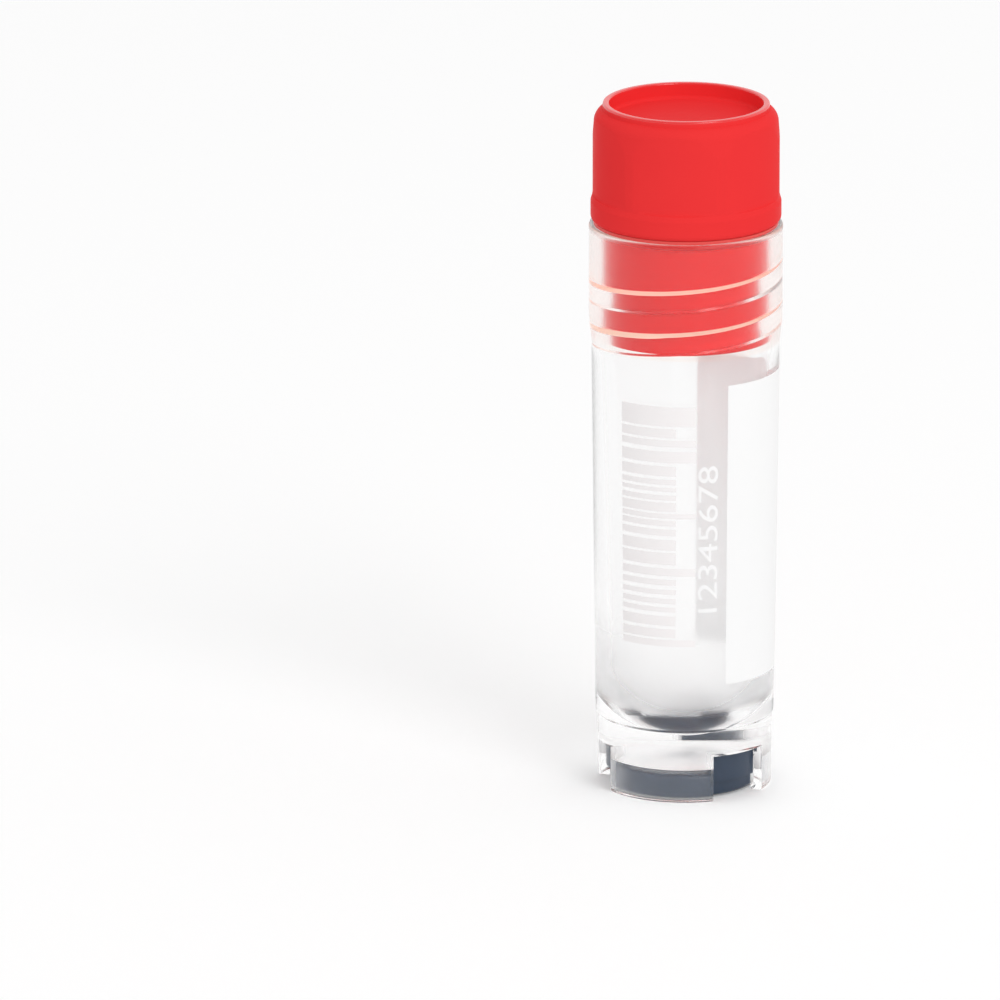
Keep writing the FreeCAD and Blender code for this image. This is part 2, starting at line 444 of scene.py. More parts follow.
# %% [markdown]
# ## The tube
# The tube is thin, tapered and open at the top. Below its round bottom the skirt goes on down to the table, so
# that the vial stands by itself. Inside the neck the thread ridge belongs to the same moulding, so it is joined
# to the wall as one closed skin. Light then bends only where plastic meets air, as in the real one.

# %% Turn the tube
body_top_radius = neck_radius - 0.18 * mm
body_bottom_radius = body_top_radius - 0.30 * mm
body_wall = 1.05 * mm
bore_bottom_radius = body_bottom_radius - body_wall
skirt_radius = body_bottom_radius - 0.14 * mm
skirt_bore_radius = skirt_radius - 0.80 * mm
skirt_top = 4.90 * mm
floor_height = 3.60 * mm
pocket_edge = 2.05 * mm
pocket_rise = 0.90 * mm
dome_centre = (0, floor_height + bore_bottom_radius)
neck_foot = vial_top - 6.2 * mm
taper_foot = neck_foot - 1.8 * mm
bore_taper_top = plug_bottom - 1.10 * mm

crown_radius = (skirt_bore_radius**2 + pocket_rise**2) / (2 * pocket_rise)
crown_angle = math.degrees(math.asin(skirt_bore_radius / crown_radius))
crown_centre = (0, pocket_edge + pocket_rise - crown_radius)
crown = arc_points(crown_centre, crown_radius, 90, 90 - crown_angle, 24)
walls = outline([
    (*crown[-1], 0),
    (skirt_bore_radius, 0, 0.12 * mm),
    (skirt_radius, 0, 0.14 * mm),
    (skirt_radius + 0.04 * mm, skirt_top - 0.15 * mm, 0.06 * mm),
    (body_bottom_radius, skirt_top, 0.08 * mm),
    (body_top_radius, taper_foot, 1.5 * mm),
    (neck_radius, neck_foot, 1.5 * mm),
    (neck_radius, vial_top, 0.20 * mm),
    (neck_bore_radius + 0.10 * mm, vial_top, 0.15 * mm),
    (neck_bore_radius, vial_top - 0.25 * mm, 0.15 * mm),
    (neck_bore_radius, bore_taper_top, 20.0 * mm),
    (bore_bottom_radius, dome_centre[1], 0),
])
inner_dome = arc_points(dome_centre, bore_bottom_radius, 0, -90, 36)
tube = turn_outline("vial_tube", clear_pp, crown[:-1] + walls + inner_dome[1:])
tell(tube)

# %% [markdown]
# ## Ridge and notches
# The ridge is wound a little into the wall and then joined to it, so that no gap stays between them. The notches
# go right through the skirt. They let water run out of a rack, and they hold the disc's lugs.

# %% Join the thread ridge and cut the notches
ridge_section = thread_section(neck_bore_radius + 0.20 * mm, crest_radius, 0, 0.06 * mm)
ridge = wind_thread("ridge", clear_pp, ridge_section, thread_turns, thread_top, thread_direction, 0.04)
combine(tube, ridge, "UNION")

notch_angle = math.radians(43)
first_notch = math.radians(-49)
notch_top = 3.05 * mm
combine(tube, sectors(
    "notches", clear_pp, Count=3, Angle=notch_angle, First=first_notch, Inner=skirt_bore_radius - 1.00 * mm,
    Outer=skirt_radius + 2 * mm, Bottom=-2 * mm, Top=notch_top), "DIFFERENCE")
smooth_to(tube, 32)
tell(tube)

# %% [markdown]
# ## The cap
# The cap is one red moulding: a hollow plug with the thread groove below, a flange that presses the washer on
# the rim, and a gripping head with a recess on top. Its outline is turned first. A tree then presses six
# shallow panels into the head, with a soft edge where they run out into the shoulder.

# %% Define the tree that presses the grip panels
tree, given, result = new_tree(
    "press_grip_panels", "GeometryNodeTree",
    {
        "Head": ("Geometry", None), "Count": ("Int", 6), "First": ("Float", 0.0), "Rib Angle": ("Float", 0.1),
        "Grip Radius": ("Float", 1.0), "Depth": ("Float", 0.1), "Bottom": ("Float", 0.0),
        "Edge": ("Float", 0.01), "Ramp": ("Float", 0.01),
    },
    {"Pressed": "Geometry"})
spot = along(tree, add(tree, "GeometryNodeInputPosition").outputs[0])
radius = from_axis(tree, spot)
pitch_angle = over(tree, full_turn, given["Count"])
half_pitch = times(tree, pitch_angle, 0.5)
heading = minus(tree, maths(tree, "ARCTAN2", spot["Y"], spot["X"]), given["First"])
in_panel = minus(tree, maths(tree, "FLOORED_MODULO", plus(tree, heading, half_pitch), pitch_angle), half_pitch)
half = times(tree, minus(tree, pitch_angle, given["Rib Angle"]), 0.5)
deepest = minus(tree, given["Grip Radius"], given["Depth"])
side = times(tree, given["Grip Radius"], maths(tree, "COSINE", half))
squares = minus(
    tree, times(tree, given["Grip Radius"], given["Grip Radius"]), times(tree, times(tree, side, deepest), 2.0))
chord = plus(tree, squares, times(tree, deepest, deepest))
drum = over(tree, chord, times(tree, minus(tree, deepest, side), 2.0))
offset = minus(tree, deepest, drum)
across = times(tree, offset, maths(tree, "SINE", in_panel))
reach = maths(tree, "SQRT", minus(tree, times(tree, drum, drum), times(tree, across, across)))
panel = plus(tree, times(tree, offset, maths(tree, "COSINE", in_panel)), reach)
ramp = add(tree, "ShaderNodeMapRange", {
    "Value": spot["Z"], "From Min": given["Bottom"], "From Max": plus(tree, given["Bottom"], given["Ramp"]),
    "To Min": given["Depth"], "To Max": 0.0}, interpolation_type="SMOOTHSTEP").outputs[0]
pressed = maths(tree, "SMOOTH_MIN", radius, plus(tree, panel, ramp), given["Edge"])
is_grip = times(tree, maths(tree, "GREATER_THAN", spot["Z"], given["Bottom"]), maths(
    tree, "GREATER_THAN", radius, minus(tree, deepest, given["Depth"])))
scale = over(tree, pressed, maths(tree, "MAXIMUM", radius, 1e-6))
place = as_vector(tree, times(tree, spot["X"], scale), times(tree, spot["Y"], scale), spot["Z"])
moved = add(tree, "GeometryNodeSetPosition", {"Geometry": given["Head"], "Selection": is_grip, "Position": place})
panel_tree = end_tree(tree, moved, given, result)

# %% [markdown]
# ## From the plug to the recess
# The cap's core is hollow, because a thick lump of plastic would sink in as it cools. The head's outline is
# divided finely, since the panels are pressed by moving its points. The groove is cut right through the plug's
# lower end, where the ridge enters it.

# %% Turn the cap and press its panels
plug_clearance = 0.08 * mm
plug_radius = neck_bore_radius - plug_clearance
plug_core_radius = crest_radius - plug_clearance - 0.97 * mm
flange_top = flange_seat + 1.30 * mm
grip_radius = flange_radius - 0.11 * mm
grip_bottom = flange_top + 0.35 * mm
shoulder_radius = grip_radius - 0.09 * mm
shoulder_round = 0.90 * mm
rim_radius = grip_radius - 0.66 * mm
rim_foot = cap_top - 0.42 * mm
recess_radius = rim_radius - 0.42 * mm
recess_floor = cap_top - 1.05 * mm
core_top = recess_floor - 1.20 * mm

arc_middle = shoulder_radius - shoulder_round
arc_rise = math.sqrt(shoulder_round**2 - (rim_radius - arc_middle) ** 2)
arc_angle = math.degrees(math.atan2(arc_rise, rim_radius - arc_middle))
shoulder = arc_points((arc_middle, rim_foot - arc_rise), shoulder_round, 0, arc_angle, 16)
below = outline([
    (0, core_top, 0),
    (plug_core_radius, core_top, 0.5 * mm),
    (plug_core_radius, plug_bottom, 0.10 * mm),
    (plug_radius, plug_bottom, 0.22 * mm),
    (plug_radius, flange_seat, 0.15 * mm),
    (flange_radius, flange_seat, 0.35 * mm),
    (flange_radius, flange_top, 0.15 * mm),
    (grip_radius, grip_bottom, 0.15 * mm),
    (grip_radius, cap_top - 2.30 * mm, 0.8 * mm),
    (*shoulder[0], 0),
])
above = outline([
    (*shoulder[-1], 0),
    (rim_radius, cap_top, 0.12 * mm),
    (recess_radius, cap_top, 0.12 * mm),
    (recess_radius, recess_floor, 0.25 * mm),
    (0, recess_floor, 0),
])
grip_start = 1 + max(i for i, p in enumerate(below) if p.y < grip_bottom)
head = divide(below[grip_start:] + shoulder[1:], 0.15 * mm)
cap = turn_outline("cap_moulding", red_pp, below[:grip_start] + head + above[1:], segments=360)
plug_groove = thread_section(neck_bore_radius + 0.30 * mm, crest_radius - plug_clearance, 0.07 * mm, 0.06 * mm)
end_clearance = 8 / 360
past_plug = (thread_top - plug_bottom) / thread_pitch + 0.3
groove = wind_thread(
    "groove", red_pp, plug_groove, end_clearance + past_plug, thread_top + end_clearance * thread_pitch,
    thread_direction + end_clearance * full_turn, 0.04)
combine(cap, groove, "DIFFERENCE")
panel_count = 6
rib_angle = math.radians(6.0)
panel_depth = 0.15 * mm
set_solid(run_tree(
    cap, panel_tree, red_pp, Count=panel_count, First=math.radians(-97.5), Rib_Angle=rib_angle, Grip_Radius=grip_radius,
    Depth=panel_depth, Bottom=grip_bottom - 0.02 * mm, Edge=0.012 * mm, Ramp=0.10 * mm))
smooth_to(cap, 35)
tell(cap)

# %% [markdown]
# ## The code disc
# A black disc is pressed into the skirt, and three lugs on its edge stand in the notches and keep it from
# turning. Its hidden underside carries a square code for a scanner under the rack. The code here is made up:
# a solid L on two sides to find it by, and random cells inside.

# %% Turn the disc and join its lugs
insert_radius = skirt_bore_radius - 0.02 * mm
insert_top = insert_bottom + 1.60 * mm
disc = turn_outline("code_disc", black_pp, outline([
    (0, insert_bottom, 0),
    (insert_radius, insert_bottom, 0.35 * mm),
    (insert_radius, insert_top, 0.35 * mm),
    (0, insert_top, 0),
], arc_steps=8))
lug_bottom = 1.15 * mm
lug_reach = 0.24 * mm
lug_angle = notch_angle - 2 * math.radians(1.5)
lugs = sectors(
    "lugs", black_pp, Count=3, Angle=lug_angle, First=first_notch, Inner=insert_radius - 0.90 * mm,
    Outer=skirt_bore_radius + lug_reach, Bottom=lug_bottom, Top=lug_top)
combine(disc, lugs, "UNION")
smooth_to(disc, 35)
tell(disc)

# %% [markdown]
# ## Print on the tube
# The label of a cryovial is ink on the tube itself, because paper would come off in the cold. The print is drawn
# flat first, with its width to the right of the front and its height up the tube. A tree then wraps it round the
# slightly tapered tube, a hundredth of a millimetre proud of the plastic.

# %% Define the tree that wraps flat print on the tube
quarter_turn = full_turn / 4
ink_depth = -0.003 * mm
ink_rise = 0.012 * mm
tree, given, result = new_tree(
    "wrap_on_tube", "GeometryNodeTree",
    {
        "Print": ("Geometry", None), "Radius": ("Float", 1.0), "Height": ("Float", 0.0), "Slope": ("Float", 0.0),
    },
    {"Wrapped": "Geometry"})
spot = along(tree, add(tree, "GeometryNodeInputPosition").outputs[0])
wall = plus(tree, given["Radius"], times(tree, given["Slope"], minus(tree, spot["Y"], given["Height"])))
angle = minus(tree, over(tree, spot["X"], given["Radius"]), quarter_turn)
place = on_ring(tree, plus(tree, wall, spot["Z"]), angle, spot["Y"])
wrapped = add(tree, "GeometryNodeSetPosition", {"Geometry": given["Print"], "Position": place})
wrap_tree = end_tree(tree, wrapped, given, result)
wrap_sizes = dict(
    Radius=body_bottom_radius, Height=skirt_top,
    Slope=(body_top_radius - body_bottom_radius) / (taper_foot - skirt_top))


def round_tube(degrees):
    """The flat distance that lies over an angle of the tube."""
    return math.radians(degrees) * body_bottom_radius

# %% [markdown]
# ## Writing field and number
# The field is a film of white ink to write on. The number is text with no name in it, filled and made as thick
# as the film. It stands on its side and reads from the foot upwards, as on a tube that is held in the hand.

# %% Print the writing field and the number
field_left, field_right = round_tube(27), round_tube(172)
field_low, field_high = 7.9 * mm, 28.0 * mm
columns = 96
points, faces = [], []
for level in (-ink_depth, ink_rise):
    for height in (field_low, field_high):
        points += [(field_left + (field_right - field_left) * i / columns, height, level) for i in range(columns + 1)]
row = columns + 1
for i in range(columns):
    a, b, c, d = i, row + i, 2 * row + i, 3 * row + i
    faces += [(a, b, b + 1, a + 1), (c, c + 1, d + 1, d), (a, a + 1, c + 1, c), (b, d, d + 1, b + 1)]
faces += [(0, 2 * row, 3 * row, row), (columns, row + columns, 3 * row + columns, 2 * row + columns)]
field = mesh_object("writing_field", points, faces=faces)

tree, given, result = new_tree(
    "number_line", "GeometryNodeTree",
    {
        "Start": ("Geometry", None), "Number": ("String", "12345678"), "Size": ("Float", 1.0),
        "Left": ("Float", 0.0), "Low": ("Float", 0.0), "Depth": ("Float", 0.01), "Thickness": ("Float", 0.02),
    },
    {"Line": "Geometry"})
letters = add(tree, "GeometryNodeStringToCurves", {"String": given["Number"], "Size": given["Size"]})
loops = add(tree, "GeometryNodeRealizeInstances", {0: letters.outputs[0]})
filled = add(tree, "GeometryNodeFillCurve", {"Curve": loops.outputs[0]})
fine = add(tree, "GeometryNodeSubdivideMesh", {"Mesh": filled.outputs[0], "Level": 2})
solid = add(tree, "GeometryNodeExtrudeMesh", {
    "Mesh": fine.outputs[0], "Offset": (0.0, 0.0, 1.0), "Offset Scale": given["Thickness"], "Individual": False})
bottom = add(tree, "GeometryNodeFlipFaces", {"Mesh": fine.outputs[0]})
both = add(tree, "GeometryNodeJoinGeometry")
tree.links.new(solid.outputs["Mesh"], both.inputs[0])
tree.links.new(bottom.outputs[0], both.inputs[0])
closed = add(tree, "GeometryNodeMergeByDistance", {"Geometry": both.outputs[0], "Distance": 1e-7})
placed = add(tree, "GeometryNodeTransform", {
    "Geometry": closed.outputs[0], "Rotation": (0.0, 0.0, math.radians(90)), "Scale": (1.45, 1.0, 1.0),
    "Translation": as_vector(tree, given["Left"], given["Low"], times(tree, given["Depth"], -1.0))})
end_tree(tree, placed, given, result)
number = set_solid(run_tree(
    mesh_object("number", []), tree, white_ink, Size=1.80 * mm, Left=round_tube(20.5), Low=12.35 * mm,
    Depth=ink_depth, Thickness=ink_depth + ink_rise))
tell(number)

# %% [markdown]
# ## Printed bars
# Beside the number a stack of bars repeats it for a scanner. The bars here stand for no number: a tree draws
# their widths and gaps from a fixed seed and stacks them. Some bars run on up to the number.

# %% Stack the bars
tree, given, result = new_tree(
    "stack_bars", "GeometryNodeTree",
    {
        "Start": ("Geometry", None), "Count": ("Int", 12), "Seed": ("Int", 1), "Low": ("Float", 0.0),
        "High": ("Float", 1.0), "Left": ("Float", 0.0), "Right": ("Float", 1.0), "Long Right": ("Float", 1.2),
        "Long Share": ("Float", 0.4), "Depth": ("Float", 0.01), "Thickness": ("Float", 0.02),
    },
    {"Bars": "Geometry"})
stations = add(tree, "GeometryNodePoints", {"Count": given["Count"]}).outputs[0]
narrow = add(tree, "FunctionNodeRandomValue", {2: 0.35, 3: 1.1, "Seed": given["Seed"]}, data_type="FLOAT").outputs[1]
index = add(tree, "GeometryNodeInputIndex").outputs[0]
is_top = maths(tree, "GREATER_THAN", index, minus(tree, given["Count"], 1.5))
bar = plus(tree, narrow, times(tree, is_top, 1.3))
gap = add(tree, "FunctionNodeRandomValue", {
    2: 0.12, 3: 0.42, "Seed": plus(tree, given["Seed"], 7.0)}, data_type="FLOAT").outputs[1]
runs = add(tree, "GeometryNodeAccumulateField", {0: plus(tree, bar, gap)}, data_type="FLOAT")
whole = minus(tree, runs.outputs["Total"], gap)
unit = over(tree, minus(tree, given["High"], given["Low"]), whole)
middle = plus(tree, given["Low"], times(tree, unit, plus(tree, runs.outputs["Trailing"], times(tree, bar, 0.5))))
is_long = add(tree, "FunctionNodeRandomValue", {
    "Probability": given["Long Share"], "Seed": plus(tree, given["Seed"], 3.0)},
    data_type="BOOLEAN").outputs[3]
right = add(tree, "GeometryNodeSwitch", {
    "Switch": is_long, "False": given["Right"], "True": given["Long Right"]}, input_type="FLOAT").outputs[0]
width = minus(tree, right, given["Left"])
centre = times(tree, plus(tree, right, given["Left"]), 0.5)
spread = add(tree, "GeometryNodeSetPosition", {"Geometry": stations, "Position": as_vector(
    tree, centre, middle, minus(tree, times(tree, given["Thickness"], 0.5), given["Depth"]))})
block = add(tree, "GeometryNodeMeshCube", {
    "Size": (1.0, 1.0, 1.0), "Vertices X": 33, "Vertices Y": 2, "Vertices Z": 2})
copies = add(tree, "GeometryNodeInstanceOnPoints", {
    "Points": spread.outputs[0], "Instance": block.outputs["Mesh"],
    "Scale": as_vector(tree, width, times(tree, bar, unit), given["Thickness"])})
end_tree(tree, copies, given, result)
bars = set_solid(run_tree(
    mesh_object("printed_bars", []), tree, bar_ink_painted_shade, Count=22, Seed=17, Low=10.6 * mm, High=26.7 * mm,
    Left=round_tube(-42.5), Right=round_tube(-5.7), Long_Right=round_tube(6.6), Long_Share=0.4,
    Depth=ink_depth, Thickness=ink_depth + ink_rise))

# %% [markdown]
# ## Round the tube
# The flat print is now wrapped on the tube by the same tree. The field and the number are one film of white ink,
# so they become one piece.

# %% Wrap the print
for part, ink in ((field, white_ink), (number, white_ink), (bars, bar_ink_painted_shade)):
    set_solid(run_tree(part, wrap_tree, ink, **wrap_sizes))
with bpy.context.temp_override(active_object=field, selected_editable_objects=[field, number]):
    bpy.ops.object.join()
label = field
label.name = label.data.name = "label_print"
tell(label)
tell(bars)

# %% [markdown]
# ## Code marks
# The code is printed on the disc's underside. A grid keeps some cells at random, and always keeps the two
# solid sides.

# %% Print the code
tree, given, result = new_tree(
    "code_cells", "GeometryNodeTree",
    {
        "Start": ("Geometry", None), "Cells": ("Int", 14), "Width": ("Float", 1.0), "Share": ("Float", 0.5),
        "Seed": ("Int", 1), "Level": ("Float", 0.0), "Thickness": ("Float", 0.01), "Turn": ("Float", 0.0),
    },
    {"Code": "Geometry"})
cell = over(tree, given["Width"], given["Cells"])
across = minus(tree, given["Width"], cell)
centres = add(tree, "GeometryNodeMeshGrid", {
    "Size X": across, "Size Y": across, "Vertices X": given["Cells"], "Vertices Y": given["Cells"]})
row, column = row_and_column(tree, given["Cells"])
chosen = add(tree, "FunctionNodeRandomValue", {
    "Probability": given["Share"], "Seed": given["Seed"]}, data_type="BOOLEAN").outputs[3]
on_side = maths(tree, "LESS_THAN", maths(tree, "MINIMUM", row, column), 0.5)
kept = maths(tree, "MAXIMUM", chosen, on_side)
square = add(tree, "GeometryNodeMeshCube", {"Size": as_vector(tree, cell, cell, given["Thickness"])})
copies = add(tree, "GeometryNodeInstanceOnPoints", {
    "Points": centres.outputs["Mesh"], "Selection": kept, "Instance": square.outputs["Mesh"]})
placed = add(tree, "GeometryNodeTransform", {
    "Geometry": copies.outputs[0], "Rotation": as_vector(tree, 0.0, 0.0, given["Turn"]),
    "Translation": as_vector(tree, 0.0, 0.0, given["Level"])})
end_tree(tree, placed, given, result)
code = set_solid(run_tree(
    mesh_object("code_marks", []), tree, code_ink, Cells=14, Width=4.0 * mm, Share=0.5, Seed=4,
    Level=insert_bottom + 0.002 * mm, Thickness=0.012 * mm, Turn=math.radians(20)))
tell(code)

# %% [markdown]
# ## Finishes
# Moulded plastic is never quite even. The tool leaves a fine grain, the melt leaves slow waves, and handling
# leaves small scuffs. One shader group draws these from a piece's own coordinates. Each material then sets its
# own colour and gloss.

# %% Define the moulded surface group
surface, given, result = new_tree(
    "moulded_surface", "ShaderNodeTree",
    {
        "Roughness": ("Float", 0.3), "Variation": ("Float", 0.1), "Grain Size": ("Float", 0.0002),
        "Wave Size": ("Float", 0.004), "Seed": ("Float", 0.0),
    },
    {"Height": "Float", "Roughness": "Float", "Tone": "Float"})
where = add(surface, "ShaderNodeTexCoord").outputs["Object"]
grain = add(surface, "ShaderNodeTexNoise", {
    "Vector": where, "W": given["Seed"], "Scale": over(surface, 1.0, given["Grain Size"]),
    "Detail": 2.0, "Roughness": 0.55}, noise_dimensions="4D").outputs[0]
wave = add(surface, "ShaderNodeTexNoise", {
    "Vector": where, "W": given["Seed"], "Scale": over(surface, 1.0, given["Wave Size"]),
    "Detail": 3.0, "Roughness": 0.5}, noise_dimensions="4D").outputs[0]
height = plus(surface, times(surface, grain, 0.35), wave)
surface.links.new(height, result["Height"])
spread = times(surface, minus(surface, wave, 0.5), given["Variation"])
speckle = times(surface, minus(surface, grain, 0.5), times(surface, given["Variation"], 0.5))
surface.links.new(plus(surface, given["Roughness"], plus(surface, spread, speckle)), result["Roughness"])
surface.links.new(wave, result["Tone"])


def open_shader(material, **settings):
    """A material's tree and Principled shader. Keyword values go straight on to the shader's own sockets."""
    material.use_nodes = True
    shader = material.node_tree.nodes["Principled BSDF"]
    for label, value in settings.items():
        shader.inputs[label.replace("_", " ")].default_value = value
    return material.node_tree, shader


def mould(material, low, high, roughness, variation, grain, wave, bump, seed, **settings):
    """The finish of moulded plastic: two close tones, uneven gloss and a fine bump."""
    tree, shader = open_shader(material, **settings)
    group = add(tree, "ShaderNodeGroup", node_tree=surface)
    for label, value in (
            ("Roughness", roughness), ("Variation", variation), ("Grain Size", grain), ("Wave Size", wave),
            ("Seed", seed)):
        group.inputs[label].default_value = value
    tone = add(tree, "ShaderNodeMix", {0: group.outputs["Tone"], 6: (*low, 1), 7: (*high, 1)}, data_type="RGBA")
    dent = add(tree, "ShaderNodeBump", {
        "Height": group.outputs["Height"], "Strength": 1.0, "Distance": bump})
    tree.links.new(tone.outputs[2], shader.inputs["Base Color"])
    tree.links.new(group.outputs["Roughness"], shader.inputs["Roughness"])
    tree.links.new(dent.outputs[0], shader.inputs["Normal"])
    print("finish", material.name, "roughness", roughness)


def mixed_by(tree, mask, socket, value, kind):
    """Puts another value on a shader's socket where a mask is 1."""
    first = 6 if kind == "RGBA" else 2
    mix = add(tree, "ShaderNodeMix", {
        0: mask, first: socket.links[0].from_socket, first + 1: value}, data_type=kind)
    tree.links.new(mix.outputs[2 if kind == "RGBA" else 0], socket)

# %% [markdown]
# ## Clear and red polypropylene
# Natural polypropylene is clear with a slight haze, and it bends light about as much as window glass does. The
# cap has the same resin with a dense red pigment, so little light gets below its skin. Its sides hardly shine,
# and only its rim is polished, so the rim is a finish of its own.

# %% Mix the two polypropylenes
mould(
    clear_pp, (0.985, 0.985, 0.985), (0.995, 0.995, 0.995), roughness=0.03, variation=0.02, grain=0.4 * mm,
    wave=6 * mm, bump=0.0001 * mm, seed=1.0, IOR=1.49, Transmission_Weight=1.0)
for finish, roughness, variation, shine in ((red_pp, 0.34, 0.12, 0.005), (polished_rim, 0.18, 0.02, 0.8)):
    mould(
        finish, (0.84, 0.036, 0.040), (0.88, 0.042, 0.042), roughness, variation, grain=0.12 * mm, wave=4 * mm,
        bump=0.002 * mm, seed=2.0, IOR=1.49, Specular_IOR_Level=shine)

# %% [markdown]
# ## Satin insides, a painted red glow in the neck and painted shade on the plug
# The outside of the mould is polished and its cores are left satin, so the tube's inner skins blur what is seen
# through them: a little in the bore, more round the thread and in the pocket of the skirt. The round end of the
# core is polished, and the satin grows above it. In the neck the clear plastic is tinted peach, a painted glow
# for the red light that the plug throws into the wall. The plug is painted a deeper red, as painted shade for
# the light that the wall round it holds back.

# %% Vary the clear plastic by place
tree = clear_pp.node_tree
shader = tree.nodes["Principled BSDF"]
place = along(tree, add(tree, "ShaderNodeTexCoord").outputs["Object"])
reach = from_axis(tree, place)
normal = add(tree, "ShaderNodeNewGeometry").outputs["Normal"]
is_upright = maths(tree, "LESS_THAN", maths(tree, "ABSOLUTE", along(tree, normal)["Z"]), 0.975)
pocket_end = 3.3 * mm
neck_start = plug_bottom - 0.3 * mm
rim_start = vial_top - 0.3 * mm
rise = add(tree, "ShaderNodeMapRange", {
    "Value": place["Z"], "From Min": 5.2 * mm, "From Max": 6.3 * mm, "To Min": 0.12, "To Max": 0.58}).outputs[0]
fall = add(tree, "ShaderNodeMapRange", {
    "Value": place["Z"], "From Min": 8.0 * mm, "From Max": 12.0 * mm, "To Min": 0.58, "To Max": 0.10}).outputs[0]
for low, high, inner, satin, where in (
        (0.2 * mm, pocket_end, skirt_bore_radius, 0.30, 1.0),
        (pocket_end, neck_start, neck_bore_radius, maths(tree, "MINIMUM", rise, fall), 1.0),
        (neck_start, rim_start, neck_bore_radius, 0.18, is_upright),
        (rim_start, vial_top + 1 * mm, neck_radius, 0.30, 1.0)):
    level = times(tree, maths(tree, "GREATER_THAN", place["Z"], low), maths(tree, "LESS_THAN", place["Z"], high))
    inside = times(tree, maths(tree, "LESS_THAN", reach, inner + 0.02 * mm), where)
    mixed_by(tree, times(tree, level, inside), shader.inputs["Roughness"], satin, "FLOAT")
# Painted red glow: the clear plastic in the neck is tinted peach for the red light that the plug throws into it.
neck_painted_light_zone = maths(tree, "GREATER_THAN", place["Z"], neck_start)
mixed_by(tree, neck_painted_light_zone, shader.inputs["Base Color"], (1.0, 0.94, 0.915, 1), "RGBA")

# %% Paint shade on the plug's red
tree = red_pp.node_tree
place = along(tree, add(tree, "ShaderNodeTexCoord").outputs["Object"])
# Painted shade: the plug below the rim is a deeper red for the light that the wall round it holds back.
neck_painted_light_zone = maths(tree, "LESS_THAN", place["Z"], vial_top + 0.05 * mm)
mixed_by(tree, neck_painted_light_zone, tree.nodes["Principled BSDF"].inputs["Base Color"], (0.74, 0.006, 0.008, 1), "RGBA")

# %% [markdown]
# ## Silicone, black disc, inks and a painted glint
# The washer is soft silicone; its red is painted, for the cap's red light that shines through it from above and
# below. The disc is black with a smooth face. Ink is matt and slightly grainy, because it is printed as a thin
# film of pigment. The bars are white ink too, painted a little darker and pinker as painted shade with a painted
# red glow from the cap. The upper flanks of the ridge get a painted glint of their own: a warm peach colour and
# a faint glow, which stand for the plug's red light that the hazy wall reflects and scatters there.

# %% Mix the other finishes
# The washer's red is painted: it stands for the cap's red light shining through the pale silicone.
mould(
    silicone, (0.86, 0.08, 0.07), (0.88, 0.10, 0.09), roughness=0.45, variation=0.1, grain=0.08 * mm, wave=1 * mm,
    bump=0.002 * mm, seed=3.0, IOR=1.41)
mould(
    black_pp, (0.022, 0.040, 0.072), (0.030, 0.051, 0.090), roughness=0.24, variation=0.10, grain=0.10 * mm,
    wave=2 * mm, bump=0.002 * mm, seed=4.0, IOR=1.49)
# Painted glint: the peach colour and the faint glow stand for light reflected and scattered in the wall, not a lamp.
mould(
    painted_glint_flank, (0.98, 0.64, 0.53), (1.0, 0.70, 0.58), roughness=0.5, variation=0.1, grain=0.1 * mm, wave=2 * mm,
    bump=0.002 * mm, seed=8.0, Emission_Color=(1.0, 0.60, 0.46, 1), Emission_Strength=0.30)
# The bar ink is white ink with painted shade and a painted red glow from the cap, so it is a little darker and pinker.
for ink, low, high, roughness, bump, seed in (
        (white_ink, (0.95, 0.95, 0.95), (0.97, 0.97, 0.97), 0.6, 0.002 * mm, 5.0),
        (bar_ink_painted_shade, (0.95, 0.915, 0.915), (0.965, 0.94, 0.94), 0.6, 0.002 * mm, 6.0),
        (code_ink, (0.55, 0.56, 0.56), (0.62, 0.63, 0.63), 0.55, 0.001 * mm, 7.0)):
    mould(ink, low, high, roughness, 0.1, grain=0.05 * mm, wave=1 * mm, bump=bump, seed=seed)

# %% [markdown]
# ## Putting the pieces on their bodies
# Each visual piece rides on the CAD body that moves it and stands for the CAD node it replaces. It keeps only
# its own finish, not the empty place that a tree leaves before it. Two pieces then get a second finish on
# some faces: a painted glint on the ridge's upper flanks, and a polished finish on the cap's rim.

# %% Ride, replace and paint
for piece, body, slot, node, finish in (
        (tube, "vial", "clear_polypropylene", "vial", clear_pp),
        (cap, "cap", "red_polypropylene", "screw_cap", red_pp),
        (disc, "vial", "black_polypropylene", "code_insert", black_pp),
        (label, "vial", None, None, white_ink),
        (bars, "vial", None, None, bar_ink_painted_shade),
        (code, "vial", None, None, code_ink)):
    paint(piece, finish)
    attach(piece, body)
    if node:
        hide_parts(node)
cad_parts["sealing_washer"].material_slots[0].material = silicone


def is_flank(face):
    """The upper flank of the ridge, which gets the painted glint: it looks up at a slant, between the crest and the
    wall.
    """
    inside = crest_radius - 0.02 * mm < face.center.xy.length < neck_bore_radius - 0.01 * mm
    return inside and 0.45 < face.normal.z < 0.97 and bore_taper_top < face.center.z < vial_top - 1.0 * mm


def is_rim(face):
    return face.center.z > cap_top - 0.14 * mm


# The ridge's upper flanks get the painted glint, and the cap's rim gets its polished finish.
for piece, finish, chosen in ((tube, painted_glint_flank, is_flank), (cap, polished_rim, is_rim)):
    piece.data.materials.append(finish)
    for face in piece.data.polygons:
        face.material_index = int(chosen(face))
    print(finish.name, "on", sum(face.material_index for face in piece.data.polygons), "faces of", piece.name)

# %% [markdown]
# ## Floor
# The vial stands on a plain white floor that keeps its shadow. Where the floor is seen, directly or in plastic,
# it glows a little, which makes it white without putting more light on the vial.

